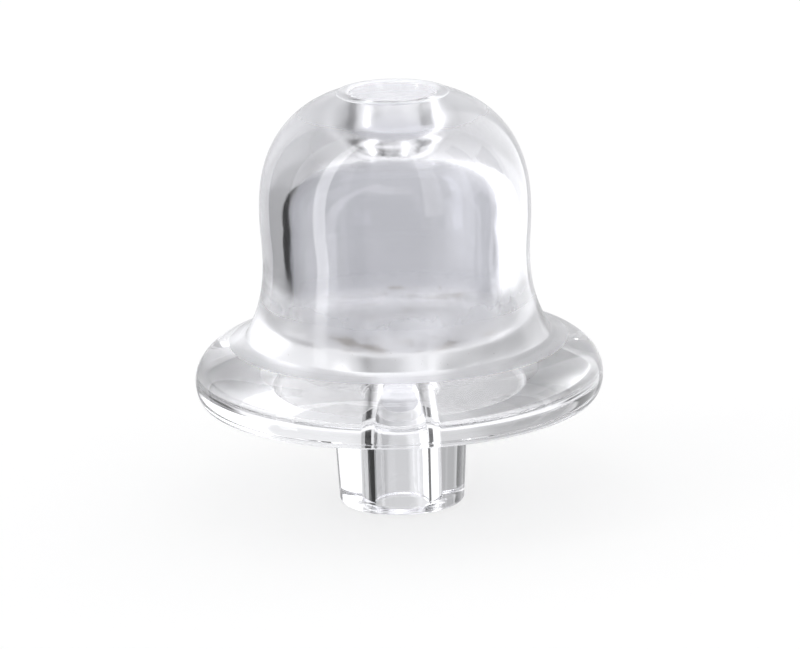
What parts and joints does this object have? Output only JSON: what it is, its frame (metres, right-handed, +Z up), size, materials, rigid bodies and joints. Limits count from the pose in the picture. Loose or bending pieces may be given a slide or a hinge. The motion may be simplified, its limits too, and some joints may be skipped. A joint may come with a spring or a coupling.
{
  "type": "glass vent cap",
  "caption": "Clear glass cap: hollow bell dome with a vent in its crown, on a thick solid disc with a short bored nozzle tube below.",
  "frame": {"origin": "centre of the nozzle's flat end, which is the bottom of the part", "axes": "+Z up the axis that all the sections are turned about, from the nozzle's end to the vent; X and Y are any two level directions"},
  "size_m": [0.034, 0.034, 0.0351],
  "materials": {
    "dome_glass": "clear, fire-polished outside, faintly hazed inside",
    "weld_glass": "clear, slightly milky where it was melted",
    "disc_glass": "clear, fire-polished",
    "nozzle_glass": "clear, polished, with a ground end"
  },
  "bodies": {
    "root": {"blown_dome": "dome_glass", "foot_weld_ring": "weld_glass", "flange_disc": "disc_glass", "nozzle_tube": "nozzle_glass"}
  },
  "joints": []
}
